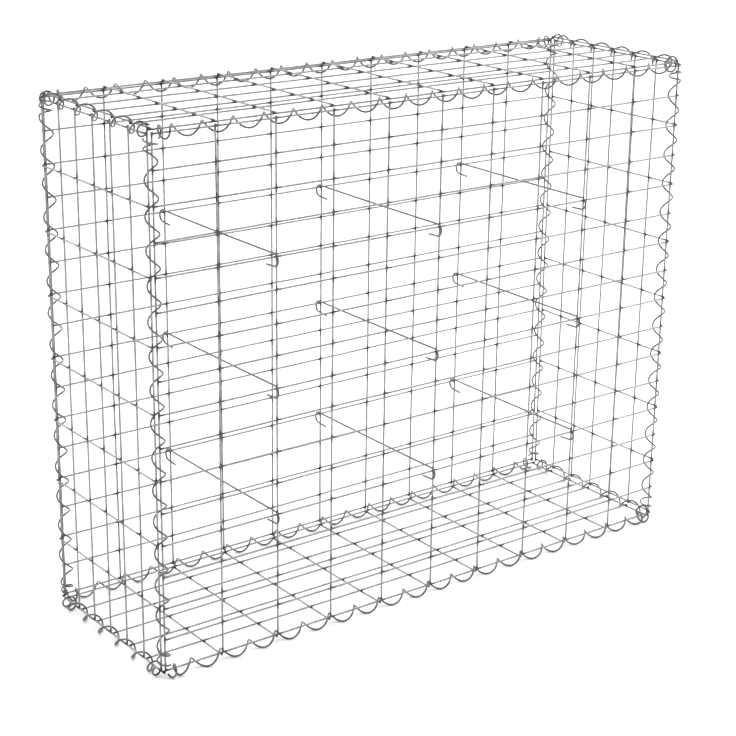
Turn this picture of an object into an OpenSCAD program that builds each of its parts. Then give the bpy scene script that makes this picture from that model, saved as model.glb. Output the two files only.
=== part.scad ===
// Empty welded-wire gabion basket: six mesh panels laced together by spirals, braced by tie wires.
// Millimetres. Length along X, front facing -Y, Z up, origin under the middle on the ground.

/* [Basket] */
// Length between the two end meshes
basket_length = 1000; // [500:100:2000]
// Depth between the front and back meshes
basket_depth = 300; // [200:50:600]
// Height between the base and lid meshes
basket_height = 800; // [400:100:1000]

/* [Mesh] */
// Long side of one mesh opening
cell_long = 100; // [80:20:120]
// Short side of one mesh opening, also the pitch of the spirals
cell_short = 50; // [40:10:60]
// Diameter of the mesh wire
mesh_wire_d = 3; // [2.5:0.5:4]
// Share of the wire sunk into its neighbour at a weld
weld_sink = 0.2; // [0.15:0.05:0.3]
// How far a wire runs on past the edge wire
wire_stub = 2.5; // [2:0.5:3]
// How far each panel stands off the nominal box
panel_standoff = 4.5; // [4:0.25:5]

/* [Spirals] */
// Diameter of the spiral wire
spiral_wire_d = 3; // [2.5:0.5:3.5]
// Outside diameter of a spiral, or more if thick wires need it
spiral_od = 22; // [20:1:25]
// Clearance between a spiral and the edge wires it holds
spiral_clearance = 0.3; // [0.2:0.1:0.6]
// Turns wound close together at each end
end_turns = 1.25; // [0.75:0.25:1.25]
// Pitch of the close-wound end
end_pitch = 14; // [10:1:16]

/* [Ties] */
// Diameter of the tie wire
tie_wire_d = 3; // [2.5:0.5:3.5]
// Clearance between a tie and the wires it hooks
tie_clearance = 0.3; // [0.2:0.1:0.6]
// Height of a hook, from the tie down to its tail
hook_height = 19; // [14:1:24]
// Length of the tail behind the hook
hook_tail = 20; // [12:1:26]
// Share of the length from the middle tie to the outer ties
tie_spread = 0.3; // [0.2:0.1:0.4]

/* [Hidden] */
// Sides of a mesh bar, of a spiral's section, and rings in one turn of a spiral
bar_sides = 8;
coil_sides = 5;
coil_rings = 8;
round_sides = 32;
// Equal-area circumradius keeps the wire's true weight
bar_r = equal_area_r(mesh_wire_d, bar_sides);
coil_wire_r = equal_area_r(spiral_wire_d, coil_sides);
tie_r = tie_wire_d / 2;
layer_step = mesh_wire_d * (1 - weld_sink);
inner_lift = panel_standoff;
outer_lift = panel_standoff + layer_step;
// Mesh counts
cells_long_x = round(basket_length / cell_long);
cells_short_y = round(basket_depth / cell_short);
cells_short_z = round(basket_height / cell_short);
cells_long_z = round(basket_height / cell_long);
turns_x = round(basket_length / cell_short);
turns_y = cells_short_y;
turns_z = cells_short_z;
half_x = basket_length / 2;
half_y = basket_depth / 2;
// Spirals: smallest coil round the two edge wires, and distance from the axis to each of them
wire_room = coil_wire_r + bar_r + spiral_clearance;
least_coil_r = (outer_lift / sqrt(2) + wire_room) / cos(180 / coil_rings);
coil_r = max((spiral_od - spiral_wire_d) / 2, least_coil_r);
seat_r = coil_r * cos(180 / coil_rings) - wire_room;
// A spiral rests on the inner side of its edge wires, and under the base it hangs on their outer side
drawn_in = -1;
hung_out = 1;
base_front_axis = seat_axis(outer_lift, inner_lift, hung_out);
base_end_axis = seat_axis(outer_lift, outer_lift, hung_out);
base_z = max(base_front_axis[1], base_end_axis[1]) + coil_r + coil_wire_r;
lid_z = base_z + basket_height;
// Ties: columns beside an upright, rows on a rail that lies some way round the hook
upright_pitch = basket_length / cells_long_x;
rail_pitch = basket_height / cells_short_z;
tie_step = max(1, round(tie_spread * cells_long_x));
tie_beside = bar_r + tie_r + tie_clearance;
hook_r = hook_height / 2;
hook_lean = 30;
hook_room = hook_r - tie_beside;
hook_y = ceil(10 * (half_y + outer_lift - hook_room * sin(hook_lean))) / 10;
hook_rise = hook_r - hook_room * cos(hook_lean);
first_upright = -half_x + upright_pitch * floor(cells_long_x / 2);
tie_x = [for (k = [-1, 0, 1]) first_upright + k * tie_step * upright_pitch - tie_beside];
tie_z = [for (k = [1, 2, 3]) base_z + rail_pitch * round(k * cells_short_z / 4) + hook_rise];
galvanised = [0.72, 0.74, 0.76];
spiral_zinc = [0.66, 0.68, 0.7];
tie_zinc = [0.6, 0.62, 0.65];

// Circumradius of a regular polygon with the area of a round wire
function equal_area_r(wire_d, sides) = wire_d / 2 * sqrt(2 * PI / (sides * sin(360 / sides)));

// Axis of a spiral over an edge, measured outward from the edge along the two panels' normals
function seat_axis(lift_p, lift_q, side) =
    let (span = norm([lift_p, lift_q]))
    let (shift = side * sqrt(max(0, seat_r * seat_r - span * span / 4)))
    [lift_p / 2 + shift * lift_q / span, lift_q / 2 + shift * lift_p / span];

// Distance along the edge at a turn of a spiral
function coil_travel(turn, turns, pitch) =
    turn < 0.5 ? pitch / 2 - end_pitch * (0.5 - turn)
    : turn > turns - 0.5 ? pitch * (turns - 0.5) + end_pitch * (turn - turns + 0.5)
    : pitch * turn;

// One corner point of one ring of a spiral's wire
function coil_point(turn, turns, pitch, side) =
    let (angle = -360 * turn)
    let (rise = turn < 0.5 || turn > turns - 0.5 ? end_pitch : pitch)
    let (out = [cos(angle), sin(angle), 0])
    let (run = [2 * PI * coil_r * sin(angle), -2 * PI * coil_r * cos(angle), rise])
    let (over = cross(run / norm(run), out))
    let (around = 360 * side / coil_sides)
    coil_r * out + [0, 0, coil_travel(turn, turns, pitch)]
        + coil_wire_r * (cos(around) * out + sin(around) * over);

// Left-handed spiral along Z, passing local +X at every whole turn
module coil(turns, pitch) {
    first_turn = 0.5 - end_turns;
    rings = round(coil_rings * (turns - 1 + 2 * end_turns));
    points = [
        for (ring = [0 : rings])
            for (side = [0 : coil_sides - 1])
                coil_point(first_turn + ring / coil_rings, turns, pitch, side)
    ];
    skin = [
        for (ring = [0 : rings - 1])
            for (side = [0 : coil_sides - 1])
                let (here = ring * coil_sides + side)
                let (beside = ring * coil_sides + (side + 1) % coil_sides)
                each [
                    [here, beside, beside + coil_sides],
                    [here, beside + coil_sides, here + coil_sides]
                ]
    ];
    start_cap = [for (side = [coil_sides - 1 : -1 : 0]) side];
    end_cap = [for (side = [0 : coil_sides - 1]) rings * coil_sides + side];
    polyhedron(points = points, faces = concat(skin, [start_cap, end_cap]), convexity = 10);
}

// Spiral laid along an edge between panels p and q, deepest inside at every mesh wire
module lacing(corner, out_p, out_q, axis, along, turns, pitch) {
    start = corner + axis[0] * out_p + axis[1] * out_q;
    u = -(out_p + out_q) / norm(out_p + out_q);
    v = cross(along, u);
    multmatrix([
        [u[0], v[0], along[0], start[0]],
        [u[1], v[1], along[1], start[1]],
        [u[2], v[2], along[2], start[2]],
        [0, 0, 0, 1]
    ])
        coil(turns, pitch);
}

// One straight mesh wire along local X
module bar(length) {
    rotate([0, 90, 0])
        rotate([0, 0, 180 / bar_sides])
            cylinder(h = length, r = bar_r, center = true, $fn = bar_sides);
}

// Flat welded mesh: bars along X and along Y in two layers, outward along Z
module mesh_panel(size_x, size_y, cells_x, cells_y, x_bars_outside) {
    lift_x = x_bars_outside ? layer_step : 0;
    lift_y = x_bars_outside ? 0 : layer_step;
    for (row = [0 : cells_y])
        translate([0, size_y * (row / cells_y - 0.5), lift_x])
            bar(size_x + 2 * wire_stub);
    for (column = [0 : cells_x])
        translate([size_x * (column / cells_x - 0.5), 0, lift_y])
            rotate([0, 0, 90])
                bar(size_y + 2 * wire_stub);
}

module front_panel() {
    color(galvanised)
        translate([0, -half_y - inner_lift, base_z + basket_height / 2])
            rotate([90, 0, 0])
                mesh_panel(basket_length, basket_height, cells_long_x, cells_short_z, true);
}

module back_panel() {
    rotate([0, 0, 180])
        front_panel();
}

module left_end_panel() {
    color(galvanised)
        translate([-half_x - inner_lift, 0, base_z + basket_height / 2])
            rotate([90, 0, -90])
                mesh_panel(basket_depth, basket_height, cells_short_y, cells_long_z, true);
}

module right_end_panel() {
    rotate([0, 0, 180])
        left_end_panel();
}

module lid_panel() {
    color(galvanised)
        translate([0, 0, lid_z + inner_lift])
            mesh_panel(basket_length, basket_depth, cells_long_x, cells_short_y, false);
}

module base_panel() {
    color(galvanised)
        translate([0, 0, base_z - inner_lift])
            rotate([180, 0, 0])
                mesh_panel(basket_length, basket_depth, cells_long_x, cells_short_y, false);
}

module corner_spiral_front_left() {
    color(spiral_zinc)
        lacing([-half_x, -half_y, base_z], [0, -1, 0], [-1, 0, 0],
            seat_axis(inner_lift, inner_lift, drawn_in), [0, 0, 1], turns_z, basket_height / turns_z);
}

module corner_spiral_front_right() {
    color(spiral_zinc)
        lacing([half_x, -half_y, base_z], [0, -1, 0], [1, 0, 0],
            seat_axis(inner_lift, inner_lift, drawn_in), [0, 0, 1], turns_z, basket_height / turns_z);
}

module corner_spiral_back_left() {
    rotate([0, 0, 180])
        corner_spiral_front_right();
}

module corner_spiral_back_right() {
    rotate([0, 0, 180])
        corner_spiral_front_left();
}

module base_spiral_front() {
    color(spiral_zinc)
        lacing([-half_x, -half_y, base_z], [0, -1, 0], [0, 0, -1],
            base_front_axis, [1, 0, 0], turns_x, basket_length / turns_x);
}

module base_spiral_back() {
    rotate([0, 0, 180])
        base_spiral_front();
}

module base_spiral_left() {
    color(spiral_zinc)
        lacing([-half_x, -half_y, base_z], [-1, 0, 0], [0, 0, -1],
            base_end_axis, [0, 1, 0], turns_y, basket_depth / turns_y);
}

module base_spiral_right() {
    rotate([0, 0, 180])
        base_spiral_left();
}

module lid_spiral_front() {
    color(spiral_zinc)
        lacing([-half_x, -half_y, lid_z], [0, -1, 0], [0, 0, 1],
            seat_axis(outer_lift, inner_lift, drawn_in), [1, 0, 0], turns_x, basket_length / turns_x);
}

module lid_spiral_back() {
    rotate([0, 0, 180])
        lid_spiral_front();
}

module lid_spiral_left() {
    color(spiral_zinc)
        lacing([-half_x, -half_y, lid_z], [-1, 0, 0], [0, 0, 1],
            seat_axis(outer_lift, outer_lift, drawn_in), [0, 1, 0], turns_y, basket_depth / turns_y);
}

module lid_spiral_right() {
    rotate([0, 0, 180])
        lid_spiral_left();
}

// Hook round the front rail with its tail under the tie, about the middle of its bend
module tie_hook() {
    rotate([90, 0, 90])
        rotate([0, 0, 90]) {
            rotate_extrude(angle = 180, $fn = round_sides)
                translate([hook_r, 0])
                    circle(r = tie_r, $fn = round_sides);
            translate([-hook_r, 0, 0])
                rotate([90, 0, 0])
                    cylinder(h = hook_tail, r = tie_r, $fn = round_sides);
        }
}

// Tie wire across the basket, hooked over a rail of the front and of the back
module tie(column, row) {
    color(tie_zinc)
        translate([tie_x[column], 0, tie_z[row]]) {
            rotate([90, 0, 0])
                cylinder(h = 2 * hook_y, r = tie_r, center = true, $fn = round_sides);
            for (turn = [0, 180])
                rotate([0, 0, turn])
                    translate([0, -hook_y, -hook_r])
                        tie_hook();
        }
}

module tie_low_left() {
    tie(0, 0);
}

module tie_low_middle() {
    tie(1, 0);
}

module tie_low_right() {
    tie(2, 0);
}

module tie_mid_left() {
    tie(0, 1);
}

module tie_mid_middle() {
    tie(1, 1);
}

module tie_mid_right() {
    tie(2, 1);
}

module tie_top_left() {
    tie(0, 2);
}

module tie_top_middle() {
    tie(1, 2);
}

module tie_top_right() {
    tie(2, 2);
}

front_panel();
back_panel();
left_end_panel();
right_end_panel();
base_panel();
lid_panel();
corner_spiral_front_left();
corner_spiral_front_right();
corner_spiral_back_left();
corner_spiral_back_right();
base_spiral_front();
base_spiral_back();
base_spiral_left();
base_spiral_right();
lid_spiral_front();
lid_spiral_back();
lid_spiral_left();
lid_spiral_right();
tie_low_left();
tie_low_middle();
tie_low_right();
tie_mid_left();
tie_mid_middle();
tie_mid_right();
tie_top_left();
tie_top_middle();
tie_top_right();
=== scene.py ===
"""Looks of an empty welded-wire gabion basket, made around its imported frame."""

from __future__ import annotations

import logging
import math
import random
from dataclasses import dataclass, field
from enum import Enum
from typing import Any, Callable, Sequence

import bpy
from mathutils import Matrix, Vector

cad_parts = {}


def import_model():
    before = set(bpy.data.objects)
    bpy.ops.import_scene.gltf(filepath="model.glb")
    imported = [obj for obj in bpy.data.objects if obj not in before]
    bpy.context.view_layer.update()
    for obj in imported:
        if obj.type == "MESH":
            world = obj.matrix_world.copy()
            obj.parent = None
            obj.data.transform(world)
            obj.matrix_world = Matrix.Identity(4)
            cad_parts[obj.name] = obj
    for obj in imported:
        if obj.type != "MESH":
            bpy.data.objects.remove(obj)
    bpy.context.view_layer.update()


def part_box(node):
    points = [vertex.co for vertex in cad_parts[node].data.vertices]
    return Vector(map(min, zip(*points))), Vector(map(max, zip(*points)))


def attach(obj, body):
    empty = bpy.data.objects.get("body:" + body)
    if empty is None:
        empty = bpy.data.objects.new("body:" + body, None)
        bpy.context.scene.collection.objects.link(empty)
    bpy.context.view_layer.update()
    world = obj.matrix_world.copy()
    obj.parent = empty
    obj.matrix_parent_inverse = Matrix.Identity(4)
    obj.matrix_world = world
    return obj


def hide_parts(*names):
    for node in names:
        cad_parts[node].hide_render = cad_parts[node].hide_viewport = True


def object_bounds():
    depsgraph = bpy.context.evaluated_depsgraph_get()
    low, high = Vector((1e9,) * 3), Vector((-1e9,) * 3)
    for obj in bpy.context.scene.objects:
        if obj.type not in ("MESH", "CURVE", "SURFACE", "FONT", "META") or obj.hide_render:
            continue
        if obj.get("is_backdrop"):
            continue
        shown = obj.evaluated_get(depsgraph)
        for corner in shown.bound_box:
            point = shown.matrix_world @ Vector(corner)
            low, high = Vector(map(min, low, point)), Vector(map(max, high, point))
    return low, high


LOG = logging.getLogger("gabion_basket")
BODY = "root"
X_AXIS = Vector((1.0, 0.0, 0.0))
Y_AXIS = Vector((0.0, 1.0, 0.0))
Z_AXIS = Vector((0.0, 0.0, 1.0))
# Two places nearer than this are the same place
SAME_PLACE = 1e-5
# Faces that meet at less than this are shaded as one curve
SMOOTH_ANGLE = math.radians(50.0)

Colour = tuple[float, float, float]
Place = tuple[float, float, float]


class Value:
    """One number of a shader, whose arithmetic adds Math nodes."""

    def __init__(self, graph: "Graph", socket: bpy.types.NodeSocket) -> None:
        """Keep the graph and the socket that carries the number."""
        self.graph = graph
        self.socket = socket

    def _math(self, operation: str, first: Any, second: Any) -> "Value":
        """Add one Math node.

        Args:
            operation: The node's operation.
            first: Its first operand, a number or a Value.
            second: Its second operand, a number or a Value.

        Returns:
            The node's result.
        """
        return self.graph.make("ShaderNodeMath", {"operation": operation}, {0: first, 1: second})

    def __add__(self, other: Any) -> "Value":
        """Sum."""
        return self._math("ADD", self, other)

    def __radd__(self, other: Any) -> "Value":
        """Sum, the other way round."""
        return self._math("ADD", other, self)

    def __sub__(self, other: Any) -> "Value":
        """Difference."""
        return self._math("SUBTRACT", self, other)

    def __rsub__(self, other: Any) -> "Value":
        """Difference, the other way round."""
        return self._math("SUBTRACT", other, self)

    def __mul__(self, other: Any) -> "Value":
        """Product."""
        return self._math("MULTIPLY", self, other)

    def __rmul__(self, other: Any) -> "Value":
        """Product, the other way round."""
        return self._math("MULTIPLY", other, self)


class Graph:
    """The node tree of one material or world."""

    def __init__(self, tree: bpy.types.NodeTree) -> None:
        """Clear the tree for new nodes."""
        self.tree = tree
        tree.nodes.clear()

    def add(self, kind: str, settings: dict[str, Any], inputs: dict[Any, Any]) -> bpy.types.Node:
        """Add a node, set it up and feed its sockets.

        Args:
            kind: The node's type name.
            settings: Properties set first; "stops" fills a colour ramp.
            inputs: Socket name or number to a value or a link.

        Returns:
            The node.
        """
        node = self.tree.nodes.new(kind)
        for key, setting in settings.items():
            if key == "stops":
                self._fill_ramp(node, setting)
            else:
                setattr(node, key, setting)
        for key, value in inputs.items():
            self._feed(node.inputs[key], value)
        return node

    def make(
        self,
        kind: str,
        settings: dict[str, Any],
        inputs: dict[Any, Any],
        output: Any = 0,
    ) -> Value:
        """Add a node as add does and wrap one of its outputs.

        Args:
            kind: The node's type name.
            settings: Properties set first.
            inputs: Socket name or number to a value or a link.
            output: Name or number of the output.

        Returns:
            The wrapped output.
        """
        return Value(self, self.add(kind, settings, inputs).outputs[output])

    def _feed(self, socket: bpy.types.NodeSocket, value: Any) -> None:
        """Link a Value to a socket, or set the socket's own number."""
        if isinstance(value, Value):
            self.tree.links.new(value.socket, socket)
        else:
            socket.default_value = value

    @staticmethod
    def _fill_ramp(node: bpy.types.Node, stops: Sequence[tuple[float, Sequence[float]]]) -> None:
        """Give a colour ramp its stops."""
        elements = node.color_ramp.elements
        while len(elements) < len(stops):
            elements.new(0.5)
        for element, (place, colour) in zip(elements, stops):
            element.position = place
            element.color = (*colour, 1.0)


@dataclass(frozen=True)
class WeldGrid:
    """Where the wires of a flat mesh cross, for the darkening there: partly the scorch that welding
    leaves, partly painted shade between the crossed wires.

    Attributes:
        name: Name of the panels that share it.
        axes: The two axes of the panels' plane, 0 for X to 2 for Z.
        pitches: Distance from crossing to crossing along each axis.
        middle: A crossing of the mesh.
        darkest_reach: Distance from a crossing to where the darkening starts to fade.
        clean: Distance to where it has gone.
    """

    name: str
    axes: tuple[int, int]
    pitches: tuple[float, float]
    middle: Vector
    darkest_reach: float = 0.0042
    clean: float = 0.0095

    def crossing_scorch_and_shade(self, graph: Graph, place: Value) -> Value:
        """Strength of the weld scorch and painted shade at a place.

        Args:
            graph: The material's nodes.
            place: Object coordinates.

        Returns:
            1 at a crossing and 0 away from it.
        """
        spots = graph.add("ShaderNodeSeparateXYZ", {}, {"Vector": place}).outputs
        distance: Any = 0.0
        for axis, pitch in zip(self.axes, self.pitches):
            run = Value(graph, spots[axis]) - self.middle[axis]
            near = graph.make("ShaderNodeMath", {"operation": "PINGPONG"}, {0: run, 1: pitch / 2})
            distance = near + distance
        # Weld scorch and painted shade: full at each crossing, fading out a few millimetres away.
        return graph.make(
            "ShaderNodeMapRange",
            {"interpolation_type": "SMOOTHSTEP"},
            {
                "Value": distance,
                "From Min": self.clean,
                "From Max": self.darkest_reach,
                "To Min": 0.0,
                "To Max": 1.0,
            },
        )


@dataclass(frozen=True)
class ZincFinish:
    """Galvanised wire: zinc with a soft spangle, dull patches and a drawn grain.

    Attributes:
        name: Name of the material.
        bright: Colour of clean zinc.
        dull: Colour of greyed zinc.
        grime_and_shade: Colour in the darkest specks, and of the weld scorch and painted shade round the
            crossings.
        gloss: Roughness of clean zinc.
        matt: Roughness of greyed zinc.
        spangle_scale: Spangles to the metre.
        drift_scale: Changes of tone to the metre.
        speck_scale: Specks to the metre.
        speck_share: How much of the surface the specks take.
        speck_edge: Softness of a speck's edge.
        speck_cover: How far a speck hides the zinc.
        speck_matt: Roughness that a speck adds.
        spangle_melt: How far spangles run into one another.
        spangle_grey: Share of a spangle in the greying.
        drift_grey: Share of the slow change of tone in the greying.
        clean_margin: Greying below which zinc stays clean.
        grain_depth: Height of the drawn grain.
        grain_strength: Strength of the drawn grain.
        grain_scale: Grains to a speck.
        spangle_relief: Height of a spangle, as a share of the grain.
        metal: How far the surface is bare metal.
        scorch_and_shade_cover: How far the darkening at the crossings, weld scorch and painted shade,
            covers the zinc.
        scorch_and_shade_least: That darkening where the tone is lightest.
        scorch_and_shade_drift: That darkening which the slow change of tone adds.
        scorch_and_shade_drift: Scorch that the slow change of tone adds.
        scorch_matt: Roughness that scorch adds.
    """

    name: str
    bright: Colour
    dull: Colour
    grime_and_shade: Colour
    gloss: float = 0.3
    matt: float = 0.55
    spangle_scale: float = 260.0
    drift_scale: float = 14.0
    speck_scale: float = 420.0
    speck_share: float = 0.36
    speck_edge: float = 0.1
    speck_cover: float = 0.7
    speck_matt: float = 0.12
    spangle_melt: float = 0.6
    spangle_grey: float = 0.45
    drift_grey: float = 0.75
    clean_margin: float = 0.1
    grain_depth: float = 0.00012
    grain_strength: float = 0.5
    grain_scale: float = 2.0
    spangle_relief: float = 0.4
    metal: float = 0.9
    scorch_and_shade_cover: float = 0.75
    scorch_and_shade_least: float = 0.6
    scorch_and_shade_drift: float = 0.8
    scorch_matt: float = 0.15

    def material(self, grid: WeldGrid | None = None) -> bpy.types.Material:
        """Build the material.

        Args:
            grid: Where the wires are welded, if they are.

        Returns:
            A node material on Object coordinates.
        """
        material = bpy.data.materials.new(f"{self.name}_{grid.name}" if grid else self.name)
        material.use_nodes = True
        graph = Graph(material.node_tree)
        place = graph.make("ShaderNodeTexCoord", {}, {}, "Object")
        spangle = graph.make(
            "ShaderNodeTexVoronoi",
            {"feature": "SMOOTH_F1"},
            {"Vector": place, "Scale": self.spangle_scale, "Smoothness": self.spangle_melt},
            "Color",
        )
        cell = graph.make("ShaderNodeSeparateColor", {}, {"Color": spangle}, "Red")
        drift = self._noise(graph, place, self.drift_scale, 3.0)
        specks = self._noise(graph, place, self.speck_scale, 2.0)
        speck = graph.make(
            "ShaderNodeMapRange",
            {"interpolation_type": "SMOOTHSTEP"},
            {
                "Value": specks,
                "From Min": self.speck_share,
                "From Max": self.speck_share - self.speck_edge,
                "To Min": 0.0,
                "To Max": 1.0,
            },
        )
        grey = cell * self.spangle_grey + drift * self.drift_grey - self.clean_margin
        zinc = self._blend(graph, grey, self.bright, self.dull)
        colour = self._blend(graph, speck * self.speck_cover, zinc, self.grime_and_shade)
        rough = grey * (self.matt - self.gloss) + self.gloss + speck * self.speck_matt
        if grid:
            # Weld scorch and painted shade: round each crossing the wire's colour is pulled towards the
            # darkest speck colour.
            patchy = drift * self.scorch_and_shade_drift + self.scorch_and_shade_least
            scorch_and_shade_mask = grid.crossing_scorch_and_shade(graph, place) * patchy * self.scorch_and_shade_cover
            colour = self._blend(graph, scorch_and_shade_mask, colour, self.grime_and_shade)
            rough = rough + scorch_and_shade_mask * self.scorch_matt
        relief = self._noise(graph, place, self.speck_scale * self.grain_scale, 2.0)
        bump = graph.make(
            "ShaderNodeBump",
            {},
            {
                "Strength": self.grain_strength,
                "Distance": self.grain_depth,
                "Height": relief + cell * self.spangle_relief,
            },
        )
        shader = graph.make(
            "ShaderNodeBsdfPrincipled",
            {},
            {"Base Color": colour, "Metallic": self.metal, "Roughness": rough, "Normal": bump},
        )
        graph.add("ShaderNodeOutputMaterial", {}, {"Surface": shader})
        return material

    @staticmethod
    def _noise(graph: Graph, place: Value, scale: float, detail: float) -> Value:
        """Add one noise texture and give its strength."""
        return graph.make(
            "ShaderNodeTexNoise", {}, {"Vector": place, "Scale": scale, "Detail": detail}
        )

    @staticmethod
    def _blend(graph: Graph, factor: Value, first: Any, second: Any) -> Value:
        """Mix two colours, given as tuples or Values, by a factor held to 0 and 1."""
        ends = [c if isinstance(c, Value) else (*c, 1.0) for c in (first, second)]
        return graph.make(
            "ShaderNodeMix",
            {"data_type": "RGBA", "clamp_factor": True},
            {0: factor, 6: ends[0], 7: ends[1]},
            2,
        )


@dataclass(frozen=True)
class FloorFinish:
    """Plain pale studio floor with a faint change of tone.

    Attributes:
        name: Name of the material.
        pale: Its darker tone.
        paler: Its lighter tone.
        tone_scale: Changes of tone to the metre.
        roughness: Roughness of the floor.
        shine: Strength of its reflections.
    """

    name: str = "studio_floor"
    pale: Colour = (0.88, 0.88, 0.88)
    paler: Colour = (0.92, 0.92, 0.92)
    tone_scale: float = 0.7
    roughness: float = 0.9
    shine: float = 0.1

    def material(self) -> bpy.types.Material:
        """Build the floor's material."""
        material = bpy.data.materials.new(self.name)
        material.use_nodes = True
        graph = Graph(material.node_tree)
        place = graph.make("ShaderNodeTexCoord", {}, {}, "Object")
        tone = graph.make("ShaderNodeTexNoise", {}, {"Vector": place, "Scale": self.tone_scale})
        colour = graph.make(
            "ShaderNodeMix",
            {"data_type": "RGBA"},
            {0: tone, 6: (*self.pale, 1.0), 7: (*self.paler, 1.0)},
            2,
        )
        shader = graph.make(
            "ShaderNodeBsdfPrincipled",
            {},
            {"Base Color": colour, "Roughness": self.roughness, "Specular IOR Level": self.shine},
        )
        graph.add("ShaderNodeOutputMaterial", {}, {"Surface": shader})
        return material


MESH_ZINC = ZincFinish(
    "mesh_zinc",
    bright=(0.32, 0.324, 0.332),
    dull=(0.175, 0.178, 0.184),
    grime_and_shade=(0.036, 0.036, 0.039),
)
SPIRAL_ZINC = ZincFinish(
    "spiral_zinc",
    bright=(0.2, 0.204, 0.212),
    dull=(0.05, 0.052, 0.055),
    grime_and_shade=(0.012, 0.012, 0.014),
    gloss=0.16,
    matt=0.34,
)
TIE_ZINC = ZincFinish(
    "tie_zinc",
    bright=(0.155, 0.158, 0.163),
    dull=(0.078, 0.08, 0.083),
    grime_and_shade=(0.02, 0.02, 0.022),
)
# Weld nuggets: dark partly as the weld's own scale, partly as painted shade where the wires cross.
WELD_SCALE_AND_SHADE = ZincFinish(
    "weld_scale_and_shade",
    bright=(0.07, 0.07, 0.072),
    dull=(0.032, 0.032, 0.033),
    grime_and_shade=(0.012, 0.012, 0.013),
    gloss=0.32,
    matt=0.55,
)


class Bench:
    """Small steps of hand modelling that every piece uses."""

    @staticmethod
    def clear() -> None:
        """Deselect everything."""
        if bpy.context.mode != "OBJECT":
            bpy.ops.object.mode_set(mode="OBJECT")
        bpy.ops.object.select_all(action="DESELECT")

    @classmethod
    def hold(cls, piece: bpy.types.Object) -> None:
        """Select one object alone and make it active."""
        cls.clear()
        piece.select_set(True)
        bpy.context.view_layer.objects.active = piece

    @classmethod
    def edit(cls, piece: bpy.types.Object, mode: str) -> None:
        """Open an object in edit mode with nothing selected.

        Args:
            piece: The mesh object.
            mode: VERT, EDGE or FACE.
        """
        cls.hold(piece)
        bpy.ops.object.mode_set(mode="EDIT")
        bpy.ops.mesh.select_mode(type=mode)
        bpy.ops.mesh.select_all(action="DESELECT")
        bpy.ops.object.mode_set(mode="OBJECT")

    @classmethod
    def pick_vertices(cls, piece: bpy.types.Object, test: Callable[[Vector], bool]) -> None:
        """Select the vertices whose place passes a test, and stay in edit mode."""
        cls.edit(piece, "VERT")
        for vertex in piece.data.vertices:
            vertex.select = test(vertex.co)
        bpy.ops.object.mode_set(mode="EDIT")

    @classmethod
    def apply(cls, piece: bpy.types.Object, kind: str, **settings: Any) -> None:
        """Add a modifier, set it and apply it.

        Args:
            piece: The object.
            kind: The modifier's type.
            **settings: Its properties.
        """
        cls.hold(piece)
        modifier = piece.modifiers.new(kind.lower(), kind)
        for key, setting in settings.items():
            setattr(modifier, key, setting)
        bpy.ops.object.modifier_apply(modifier=modifier.name)

    @classmethod
    def place(cls, piece: bpy.types.Object, matrix: Matrix) -> None:
        """Put an object in its place and move the place into its mesh."""
        cls.hold(piece)
        piece.matrix_world = matrix
        bpy.context.view_layer.update()
        bpy.ops.object.transform_apply(location=True, rotation=True, scale=True)

    @classmethod
    def tube(cls, piece: bpy.types.Object, radius: float, ring_half: int) -> bpy.types.Object:
        """Turn a chain of edges into round wire with closed ends.

        Args:
            piece: A mesh of edge chains.
            radius: Radius of the wire.
            ring_half: Half the sides of the wire's section.

        Returns:
            The wire as a mesh object.
        """
        cls.hold(piece)
        bpy.ops.object.convert(target="CURVE")
        wire = bpy.context.object
        wire.data.dimensions = "3D"
        wire.data.bevel_depth = radius
        wire.data.bevel_resolution = ring_half - 2
        wire.data.use_fill_caps = True
        bpy.ops.object.convert(target="MESH")
        wire = bpy.context.object
        bpy.ops.object.shade_smooth_by_angle(angle=SMOOTH_ANGLE)
        return wire

    @classmethod
    def join(cls, pieces: Sequence[bpy.types.Object]) -> bpy.types.Object:
        """Join objects into the first one.

        Args:
            pieces: The objects, the first of which stays.

        Returns:
            The joined object.
        """
        cls.hold(pieces[0])
        for piece in pieces[1:]:
            piece.select_set(True)
        bpy.ops.object.join()
        return bpy.context.object

    @classmethod
    def finish(cls, piece: bpy.types.Object, node: str, slot: str) -> bpy.types.Object:
        """Name a piece, ride it on the basket and let it stand for its node."""
        piece.name = f"{node}_wire"
        piece.data.name = piece.name
        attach(piece, BODY)
        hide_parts(node)
        LOG.info("%s: %d faces", piece.name, len(piece.data.polygons))
        return piece


@dataclass(frozen=True)
class BasketSizes:
    """Sizes shared by all the pieces, in metres.

    Attributes:
        length: Between the end meshes.
        depth: Between the front and back meshes.
        height: Between the base and lid meshes.
        cell_long: Long side of a mesh opening.
        cell_short: Short side of a mesh opening.
        wire_radius: Radius of every wire.
        layer_step: From one layer of a welded mesh to the other.
        stub: How far a wire runs on past the edge wire.
        coil_radius: From a spiral's axis to the middle of its wire.
        end_turns: Close-wound turns at each end of a spiral.
        end_pitch: Pitch of those turns.
        hook_radius: Radius of a tie's hook, to the middle of its wire.
        tail: Length of a tie's tail.
        tail_droop: Slope of a tie's tail.
        tie_rows: Rails of the front and back that ties hook.
        tie_columns: Uprights of the front and back that ties lie beside.
    """

    length: float = 1.0
    depth: float = 0.3
    height: float = 0.8
    cell_long: float = 0.1
    cell_short: float = 0.05
    wire_radius: float = 0.0015
    layer_step: float = 0.0024
    stub: float = 0.0025
    coil_radius: float = 0.0095
    end_turns: float = 1.25
    end_pitch: float = 0.014
    hook_radius: float = 0.0095
    tail: float = 0.02
    tail_droop: float = math.radians(3.0)
    tie_rows: tuple[int, ...] = (4, 8, 12)
    tie_columns: tuple[int, ...] = (2, 5, 8)


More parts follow.
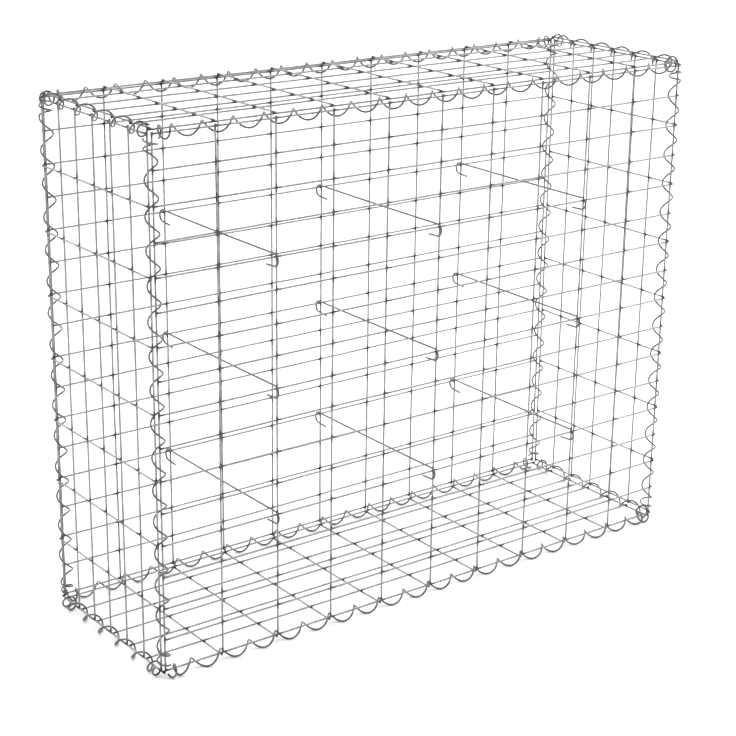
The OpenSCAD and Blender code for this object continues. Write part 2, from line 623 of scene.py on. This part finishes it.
class Outer(Enum):
    """Which wires of a welded mesh lie on its outside."""

    ACROSS = "across"
    UP = "up"


class Lie(Enum):
    """How a welded mesh lies in the basket."""

    SIDE = "sides"
    END = "ends"
    FLAT = "flats"


@dataclass
class WeldedMesh:
    """One flat welded mesh panel, with its two layers of wire and its welds.

    Attributes:
        sizes: The basket's sizes.
        node: The CAD node that it stands for.
        lie: How it lies in the basket.
        size: Width and height between the edge wires.
        cells: Openings across and up.
        outer: Which wires lie outside.
        turn: Rotation from a panel lying face up to its place.
        seed: Start of its small irregularities.
        held: Rows and columns of wires that ties hook or lie beside.
        ring_half: Half the sides of a wire.
        bow: Size of the small kinks in a wire.
        stray: How far a wire wanders in the panel's plane, as a share of its length.
        weld_width: Half the width of a weld.
        weld_height: Half the height of a weld.
        weld_sides: Sides of a weld.
        weld_rings: Rings of a weld from pole to pole.
        bends: Straight pieces of wire to each opening.
    """

    sizes: BasketSizes
    node: str
    lie: Lie
    size: tuple[float, float]
    cells: tuple[int, int]
    outer: Outer
    turn: Matrix
    seed: int
    held: tuple[Sequence[int], Sequence[int]] = ((), ())
    ring_half: int = 6
    bow: float = 0.0003
    stray: float = 0.0014
    weld_width: float = 0.0027
    weld_height: float = 0.0019
    weld_sides: int = 8
    weld_rings: int = 5
    bends: int = 2

    def build(self, wire: bpy.types.Material, weld: bpy.types.Material) -> bpy.types.Object:
        """Make the panel.

        Args:
            wire: Material of the wires.
            weld: Material of the welds, dark partly for weld scale and partly as painted shade at the
                crossings.

        Returns:
            The finished object.
        """
        low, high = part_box(self.node)
        centre = (low + high) / 2
        half_step = self.sizes.layer_step / 2
        lift_across = half_step if self.outer is Outer.ACROSS else -half_step
        waves = (self._waves(0), self._waves(1))
        across = self._layer(0, lift_across, waves[0])
        up = self._layer(1, -lift_across, waves[1])
        welds = self._welds(waves)
        for piece, finish in ((across, wire), (up, wire), (welds, weld)):
            piece.data.materials.clear()
            piece.data.materials.append(finish)
        panel = Bench.join([across, up, welds])
        Bench.place(panel, Matrix.Translation(centre) @ self.turn)
        return Bench.finish(panel, self.node, "mesh_wire")

    def _waves(self, run: int) -> list[tuple[float, float]]:
        """Draw how far each wire of one layer bows and snakes.

        Args:
            run: 0 for the wires across the panel, 1 for those up it.

        Returns:
            A bow and a snake for each wire, none at the edges and where ties sit.
        """
        draw = random.Random(self.seed * 2 + run)
        last = self.cells[1 - run]
        reach = self.stray * self.size[run]
        waves: list[tuple[float, float]] = []
        for wire in range(last + 1):
            wave = (draw.uniform(-reach, reach), draw.uniform(-reach, reach) / 2)
            fixed = wire in (0, last) or wire in self.held[run]
            waves.append((0.0, 0.0) if fixed else wave)
        return waves

    def _drift(self, place: Vector, run: int, waves: list[tuple[float, float]]) -> float:
        """Sideways shift of the wire of one layer that passes nearest a place.

        Args:
            place: A place in the panel's plane.
            run: 0 for the wires across the panel, 1 for those up it.
            waves: The layer's bows and snakes.

        Returns:
            The shift across the wire.
        """
        side = 1 - run
        wire = round((place[side] / self.size[side] + 0.5) * self.cells[side])
        along = min(max(place[run] / self.size[run] + 0.5, 0.0), 1.0)
        bow, snake = waves[wire]
        return bow * math.sin(math.pi * along) + snake * math.sin(2 * math.pi * along)

    def _layer(self, run: int, lift: float, waves: list[tuple[float, float]]) -> bpy.types.Object:
        """Make the parallel wires of one layer.

        Args:
            run: 0 for the wires across the panel, 1 for those up it.
            lift: Height of the layer over the panel's middle.
            waves: The layer's bows and snakes.

        Returns:
            The wires as one mesh.
        """
        steps = [self.cells[axis] * (self.bends if axis == run else 1) for axis in (0, 1)]
        Bench.clear()
        bpy.ops.mesh.primitive_grid_add(x_subdivisions=steps[0], y_subdivisions=steps[1], size=1.0)
        grid = bpy.context.object
        Bench.place(grid, Matrix.Diagonal((*self.size, 1.0, 1.0)))
        self._keep_edges_along(grid, run)
        edge = self.size[run] / 2 - SAME_PLACE
        for vertex in grid.data.vertices:
            vertex.co[1 - run] += self._drift(vertex.co, run, waves)
            if abs(vertex.co[run]) > edge:
                vertex.co[run] += math.copysign(self.sizes.stub, vertex.co[run])
        Bench.pick_vertices(grid, lambda _: True)
        bpy.ops.transform.vertex_random(offset=self.bow, seed=self.seed * 2 + run)
        Bench.clear()
        Bench.place(grid, Matrix.Translation((0.0, 0.0, lift)))
        return Bench.tube(grid, self.sizes.wire_radius, self.ring_half)

    @staticmethod
    def _keep_edges_along(grid: bpy.types.Object, run: int) -> None:
        """Delete a grid's faces and the edges that don't run along one axis."""
        Bench.edit(grid, "EDGE")
        mesh = grid.data
        for edge in mesh.edges:
            first, last = (mesh.vertices[v].co for v in edge.vertices)
            span = last - first
            edge.select = abs(span[run]) < abs(span[1 - run])
        bpy.ops.object.mode_set(mode="EDIT")
        bpy.ops.mesh.delete(type="EDGE")
        bpy.ops.mesh.select_all(action="SELECT")
        bpy.ops.mesh.delete(type="ONLY_FACE")
        Bench.clear()

    def _welds(self, waves: tuple[list[tuple[float, float]], ...]) -> bpy.types.Object:
        """Make one small squeezed weld, repeat it and set it at every crossing.

        Args:
            waves: Bows and snakes of the wires across and up.

        Returns:
            The welds as one mesh.
        """
        Bench.clear()
        bpy.ops.mesh.primitive_uv_sphere_add(
            segments=self.weld_sides, ring_count=self.weld_rings, radius=1.0
        )
        weld = bpy.context.object
        corner = Vector((-self.size[0] / 2, -self.size[1] / 2, 0.0))
        shape = Matrix.Diagonal((self.weld_width, self.weld_width, self.weld_height, 1.0))
        quarter = Matrix.Rotation(math.pi / 4, 4, "Z")
        Bench.place(weld, Matrix.Translation(corner) @ shape @ quarter)
        for axis in (0, 1):
            step = [0.0, 0.0, 0.0]
            step[axis] = self.size[axis] / self.cells[axis]
            Bench.apply(
                weld,
                "ARRAY",
                count=self.cells[axis] + 1,
                use_relative_offset=False,
                use_constant_offset=True,
                constant_offset_displace=step,
            )
        for vertex in weld.data.vertices:
            crossing = self._crossing(vertex.co)
            vertex.co.x += self._drift(crossing, 1, waves[1])
            vertex.co.y += self._drift(crossing, 0, waves[0])
        Bench.hold(weld)
        bpy.ops.object.shade_smooth()
        return weld

    def _crossing(self, place: Vector) -> Vector:
        """Nearest crossing of the straight mesh to a place."""
        spots = []
        for axis in (0, 1):
            step = self.size[axis] / self.cells[axis]
            spots.append(round((place[axis] + self.size[axis] / 2) / step) * step - self.size[axis] / 2)
        return Vector((*spots, 0.0))


@dataclass
class LacingSpiral:
    """One left-handed spiral that laces two panels along their edge.

    Attributes:
        sizes: The basket's sizes.
        node: The CAD node that it stands for.
        out_p: Outward direction of the first panel.
        out_q: Outward direction of the second panel.
        along: Direction of the edge.
        span: Length of the edge.
        seed: Start of its small irregularities.
        steps_per_turn: Straight pieces in a turn.
        ring_half: Half the sides of the wire.
        sway: How far the turns wander along the edge.
        sway_rates: Speeds of the two waves of that wandering, in radians to a turn.
        breathe: How far the turns' radius changes.
        breathe_rate: Speed of that change, in radians to a turn.
    """

    sizes: BasketSizes
    node: str
    out_p: Vector
    out_q: Vector
    along: Vector
    span: float
    seed: int
    steps_per_turn: int = 26
    ring_half: int = 5
    sway: float = 0.0016
    sway_rates: tuple[float, float] = (1.7, 0.61)
    breathe: float = 0.0003
    breathe_rate: float = 2.3

    def build(self, wire: bpy.types.Material) -> bpy.types.Object:
        """Make the spiral.

        Args:
            wire: Material of the wire.

        Returns:
            The finished object.
        """
        coil = self._coil()
        piece = Bench.tube(coil, self.sizes.wire_radius, self.ring_half)
        piece.data.materials.clear()
        piece.data.materials.append(wire)
        Bench.place(piece, self._seat())
        return Bench.finish(piece, self.node, "spiral_wire")

    @property
    def turns(self) -> int:
        """Turns along the whole edge."""
        return round(self.span / self.sizes.cell_short)

    def _coil(self) -> bpy.types.Object:
        """Sweep one point into a coil along Z and close up its ends.

        Returns:
            The coil as a chain of edges.
        """
        sizes = self.sizes
        pitch = self.span / self.turns
        first = 0.5 - sizes.end_turns
        total = self.turns - 1 + 2 * sizes.end_turns
        Bench.clear()
        bpy.ops.mesh.primitive_plane_add(size=sizes.coil_radius)
        coil = bpy.context.object
        bpy.ops.object.mode_set(mode="EDIT")
        bpy.ops.mesh.merge(type="CENTER")
        start = -2 * math.pi * first
        reach = sizes.coil_radius * Vector((math.cos(start), math.sin(start), 0.0))
        bpy.ops.transform.translate(value=reach)
        Bench.clear()
        Bench.apply(
            coil,
            "SCREW",
            angle=-2 * math.pi * total,
            screw_offset=pitch * total,
            steps=round(self.steps_per_turn * total),
            render_steps=round(self.steps_per_turn * total),
        )
        draw = random.Random(self.seed)
        rates = (*self.sway_rates, self.breathe_rate)
        phases = [draw.uniform(0.0, 2 * math.pi) for _ in rates]
        for vertex in coil.data.vertices:
            turn = vertex.co.z / pitch + first
            quick, slow, swell = (math.sin(turn * rate + phase) for rate, phase in zip(rates, phases))
            wave = quick + slow
            scale = 1 + self.breathe / sizes.coil_radius * swell
            vertex.co.x *= scale
            vertex.co.y *= scale
            vertex.co.z = self._travel(turn, pitch) + self.sway * wave / 2
        return coil

    def _travel(self, turn: float, pitch: float) -> float:
        """Distance along the edge at a turn, with close-wound ends.

        Args:
            turn: Turns from the start of the edge.
            pitch: Pitch of the open turns.

        Returns:
            Distance from the start of the edge.
        """
        last = self.turns - 0.5
        if turn < 0.5:
            return pitch / 2 - self.sizes.end_pitch * (0.5 - turn)
        if turn > last:
            return pitch * last + self.sizes.end_pitch * (turn - last)
        return pitch * turn

    def _seat(self) -> Matrix:
        """Place of the coil on its edge, from the CAD node's box."""
        low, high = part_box(self.node)
        start = (low + high) / 2 - self.along * self.span / 2
        inward = -(self.out_p + self.out_q).normalized()
        across = self.along.cross(inward)
        turn = Matrix((inward, across, self.along)).transposed().to_4x4()
        return Matrix.Translation(start) @ turn


@dataclass
class TieWire:
    """One tie from front to back, hooked over a rail at both ends.

    Attributes:
        sizes: The basket's sizes.
        node: The CAD node that it stands for.
        ring_half: Half the sides of the wire.
        hook_points: Points in a full circle of the hook.
        rod_cuts: Points between the two hooks.
        sag: Drop of the tie at its middle.
    """

    sizes: BasketSizes
    node: str
    ring_half: int = 6
    hook_points: int = 32
    rod_cuts: int = 7
    sag: float = 0.0006

    def build(self, wire: bpy.types.Material) -> bpy.types.Object:
        """Make the tie.

        Args:
            wire: Material of the wire.

        Returns:
            The finished object.
        """
        low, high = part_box(self.node)
        radius = self.sizes.wire_radius
        hook = self.sizes.hook_radius
        middle = Vector(((low.x + high.x) / 2, 0.0, high.z - radius - hook))
        reach = high.y - radius - hook
        ends = [self._hook(reach, side) for side in (-1.0, 1.0)]
        tie = Bench.join(ends)
        top = hook - SAME_PLACE
        Bench.pick_vertices(tie, lambda place: place.z > top)
        bpy.ops.mesh.edge_face_add()
        bpy.ops.mesh.subdivide(number_cuts=self.rod_cuts)
        Bench.clear()
        for vertex in tie.data.vertices:
            if abs(vertex.co.y) < reach - SAME_PLACE and vertex.co.z > top:
                vertex.co.z -= self.sag * (1 - (vertex.co.y / reach) ** 2)
        piece = Bench.tube(tie, radius, self.ring_half)
        piece.data.materials.clear()
        piece.data.materials.append(wire)
        Bench.place(piece, Matrix.Translation(middle))
        return Bench.finish(piece, self.node, "tie_wire")

    def _hook(self, reach: float, side: float) -> bpy.types.Object:
        """Make the half ring round one rail, with its drooping tail.

        Args:
            reach: Distance of the bend's middle from the basket's middle.
            side: -1 at the front, 1 at the back.

        Returns:
            The hook as a chain of edges.
        """
        hook = self.sizes.hook_radius
        Bench.clear()
        bpy.ops.mesh.primitive_circle_add(vertices=self.hook_points, radius=hook)
        ring = bpy.context.object
        upright = Matrix.Rotation(math.pi / 2, 4, "Y")
        Bench.place(ring, Matrix.Translation((0.0, side * reach, 0.0)) @ upright)
        Bench.pick_vertices(ring, lambda place: side * place.y < reach - SAME_PLACE)
        bpy.ops.mesh.delete(type="VERT")
        Bench.pick_vertices(ring, lambda place: place.z < -hook + SAME_PLACE)
        droop = self.sizes.tail_droop
        tail = Vector((0.0, -side * math.cos(droop), -math.sin(droop))) * self.sizes.tail
        bpy.ops.mesh.extrude_vertices_move(TRANSFORM_OT_translate={"value": tail})
        Bench.clear()
        return ring


@dataclass
class Studio:
    """Floor, lights and camera.

    Attributes:
        azimuth: Camera's angle round the basket.
        elevation: Camera's angle over the floor.
        roll: Camera's tilt about its own axis.
        distance: From the camera to the basket's middle.
        aside: How far right of the picture's middle the basket's middle lies.
        above: How far above the picture's middle the basket's middle lies.
        lens: Focal length.
        sensor: Width of the sensor.
        floor_size: Side of the square floor.
        aim: Place that the lights look at.
        sky_place: Side that the overhead light comes from.
        sky_spread: Angle that the overhead light fills.
        sky_strength: Strength of the overhead light.
        box_place: Where the softbox hangs.
        box_size: Side of the softbox.
        box_power: Power of the softbox.
        room_tones: Tone of the room at each height of the view, 0 level and 1 straight up.
    """

    azimuth: float = math.radians(-37.26)
    elevation: float = math.radians(19.04)
    roll: float = math.radians(0.78)
    distance: float = 2.9354
    aside: float = 0.0133
    above: float = 0.0669
    lens: float = 88.44
    sensor: float = 36.0
    floor_size: float = 40.0
    aim: Place = (0.0, 0.0, 0.4)
    sky_place: Place = (0.5, 1.2, 2.6)
    sky_spread: float = math.radians(130.0)
    sky_strength: float = 4.8
    box_place: Place = (2.6, -1.2, 1.5)
    box_size: float = 1.4
    box_power: float = 26.0
    room_tones: tuple[tuple[float, Colour], ...] = (
        (0.0, (1.02, 1.02, 1.02)),
        (0.11, (1.0, 1.0, 1.0)),
        (0.24, (0.15, 0.155, 0.165)),
        (0.42, (0.19, 0.195, 0.205)),
        (0.9, (0.74, 0.75, 0.76)),
    )

    def build(self) -> None:
        """Make the floor, the lights and the camera."""
        bpy.context.scene.view_settings.view_transform = "Standard"
        self._floor()
        self._world()
        self._skylight()
        self._softbox()
        self._camera()

    def _floor(self) -> None:
        """Make the pale floor."""
        Bench.clear()
        bpy.ops.mesh.primitive_grid_add(x_subdivisions=4, y_subdivisions=4, size=self.floor_size)
        floor = bpy.context.object
        floor.name = "studio_floor"
        floor.data.materials.append(FloorFinish().material())
        floor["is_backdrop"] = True

    def _world(self) -> None:
        """Give the room a pale ceiling, darker walls and a white haze at the floor line."""
        world = bpy.data.worlds.new("studio_room")
        bpy.context.scene.world = world
        world.use_nodes = True
        graph = Graph(world.node_tree)
        direction = graph.make("ShaderNodeTexCoord", {}, {}, "Generated")
        height = graph.make("ShaderNodeSeparateXYZ", {}, {"Vector": direction}, "Z")
        tone = graph.make("ShaderNodeValToRGB", {"stops": self.room_tones}, {"Fac": height})
        light = graph.make("ShaderNodeBackground", {}, {"Color": tone, "Strength": 1.0})
        graph.add("ShaderNodeOutputWorld", {}, {"Surface": light})

    def _lamp(self, name: str, kind: str, place: Place) -> bpy.types.Object:
        """Add one lamp that looks at the basket.

        Args:
            name: Name of the lamp.
            kind: AREA or SUN.
            place: Where it hangs.

        Returns:
            The lamp.
        """
        Bench.clear()
        bpy.ops.object.light_add(type=kind, location=place)
        lamp = bpy.context.object
        lamp.name = name
        sight = Vector(self.aim) - Vector(place)
        lamp.rotation_euler = sight.to_track_quat("-Z", "Y").to_euler()
        return lamp

    def _skylight(self) -> None:
        """Hang one very wide overhead light that reaches the whole floor alike."""
        lamp = self._lamp("skylight", "SUN", self.sky_place)
        lamp.data.angle = self.sky_spread
        lamp.data.energy = self.sky_strength

    def _softbox(self) -> None:
        """Hang one square soft light at the right."""
        lamp = self._lamp("side_softbox", "AREA", self.box_place)
        lamp.data.size = self.box_size
        lamp.data.energy = self.box_power

    def _camera(self) -> None:
        """Stand the camera at the photograph's viewing angle."""
        low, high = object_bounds()
        middle = (Vector(low) + Vector(high)) / 2
        level = math.cos(self.elevation)
        back = Vector(
            (math.sin(self.azimuth) * level, -math.cos(self.azimuth) * level, math.sin(self.elevation))
        )
        right = Vector((math.cos(self.azimuth), math.sin(self.azimuth), 0.0))
        up = back.cross(right)
        swing_right = right * math.cos(self.roll) + up * math.sin(self.roll)
        swing_up = up * math.cos(self.roll) - right * math.sin(self.roll)
        stand = middle + back * self.distance - swing_right * self.aside - swing_up * self.above
        turn = Matrix((swing_right, swing_up, back)).transposed().to_4x4()
        Bench.clear()
        bpy.ops.object.camera_add()
        camera = bpy.context.object
        camera.matrix_world = Matrix.Translation(stand) @ turn
        camera.data.sensor_width = self.sensor
        camera.data.lens = self.lens
        bpy.context.scene.camera = camera


@dataclass
class Basket:
    """The whole basket: six meshes, twelve spirals and nine ties."""

    sizes: BasketSizes = field(default_factory=BasketSizes)

    def build(self) -> list[bpy.types.Object]:
        """Make every piece of the basket.

        Returns:
            The finished objects.
        """
        mesh_zinc = {lie: MESH_ZINC.material(self._grid(lie)) for lie in Lie}
        weld_scale_and_shade = WELD_SCALE_AND_SHADE.material()
        spiral_zinc = SPIRAL_ZINC.material()
        tie_zinc = TIE_ZINC.material()
        pieces = [panel.build(mesh_zinc[panel.lie], weld_scale_and_shade) for panel in self._panels()]
        pieces += [spiral.build(spiral_zinc) for spiral in self._spirals()]
        pieces += [tie.build(tie_zinc) for tie in self._ties()]
        return pieces

    def _grid(self, lie: Lie) -> WeldGrid:
        """Give the crossings of the meshes that lie one way."""
        low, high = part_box("front_panel")
        middle = Vector((0.0, 0.0, (low.z + high.z) / 2))
        s = self.sizes
        planes = {
            Lie.SIDE: ((0, 2), (s.cell_long, s.cell_short)),
            Lie.END: ((1, 2), (s.cell_short, s.cell_long)),
            Lie.FLAT: ((0, 1), (s.cell_long, s.cell_short)),
        }
        return WeldGrid(lie.value, *planes[lie], middle)

    def _panels(self) -> list[WeldedMesh]:
        """List the six meshes, each turned from face up to its side."""
        s = self.sizes
        long_cells = round(s.length / s.cell_long)
        deep_cells = round(s.depth / s.cell_short)
        shapes = {
            Lie.SIDE: ((s.length, s.height), (long_cells, round(s.height / s.cell_short)), Outer.ACROSS),
            Lie.END: ((s.depth, s.height), (deep_cells, round(s.height / s.cell_long)), Outer.ACROSS),
            Lie.FLAT: ((s.length, s.depth), (long_cells, deep_cells), Outer.UP),
        }
        stand = Matrix.Rotation(math.pi / 2, 4, "X")
        places = {
            "front_panel": (Lie.SIDE, stand),
            "back_panel": (Lie.SIDE, self._about(math.pi) @ stand),
            "left_end_panel": (Lie.END, self._about(-math.pi / 2) @ stand),
            "right_end_panel": (Lie.END, self._about(math.pi / 2) @ stand),
            "base_panel": (Lie.FLAT, Matrix.Rotation(math.pi, 4, "X")),
            "lid_panel": (Lie.FLAT, Matrix.Identity(4)),
        }
        panels = []
        for seed, (node, (lie, turn)) in enumerate(places.items(), start=11):
            held = (s.tie_rows, s.tie_columns) if lie is Lie.SIDE else ((), ())
            panels.append(WeldedMesh(s, node, lie, *shapes[lie], turn, seed, held))
        return panels

    @staticmethod
    def _about(angle: float) -> Matrix:
        """Turn about the upright axis."""
        return Matrix.Rotation(angle, 4, "Z")

    def _spirals(self) -> list[LacingSpiral]:
        """List the twelve spirals, in pairs that half a turn of the basket exchanges."""
        s = self.sizes
        edges: list[tuple[str, Vector, Vector, Vector, float]] = []
        for face, out in (("front", -Y_AXIS), ("back", Y_AXIS)):
            for end, aside in (("left", -X_AXIS), ("right", X_AXIS)):
                node = f"corner_spiral_{face}_{end}"
                edges.append((node, out, aside, Z_AXIS, s.height))
        for level, out in (("base", -Z_AXIS), ("lid", Z_AXIS)):
            for hand, front, side in (("front", 1.0, "left"), ("back", -1.0, "right")):
                node = f"{level}_spiral_{hand}"
                edges.append((node, -front * Y_AXIS, out, front * X_AXIS, s.length))
                node = f"{level}_spiral_{side}"
                edges.append((node, -front * X_AXIS, out, front * Y_AXIS, s.depth))
        return [LacingSpiral(s, *edge, seed) for seed, edge in enumerate(edges, start=31)]

    def _ties(self) -> list[TieWire]:
        """List the nine ties."""
        rows = ("low", "mid", "top")
        columns = ("left", "middle", "right")
        return [TieWire(self.sizes, f"tie_{row}_{column}") for row in rows for column in columns]


def main() -> None:
    """Load the frame and make the basket and its studio."""
    logging.basicConfig(level=logging.INFO, format="%(message)s")
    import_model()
    basket = Basket()
    pieces = basket.build()
    LOG.info("%d pieces", len(pieces))
    Studio().build()


if __name__ == "__main__":
    main()
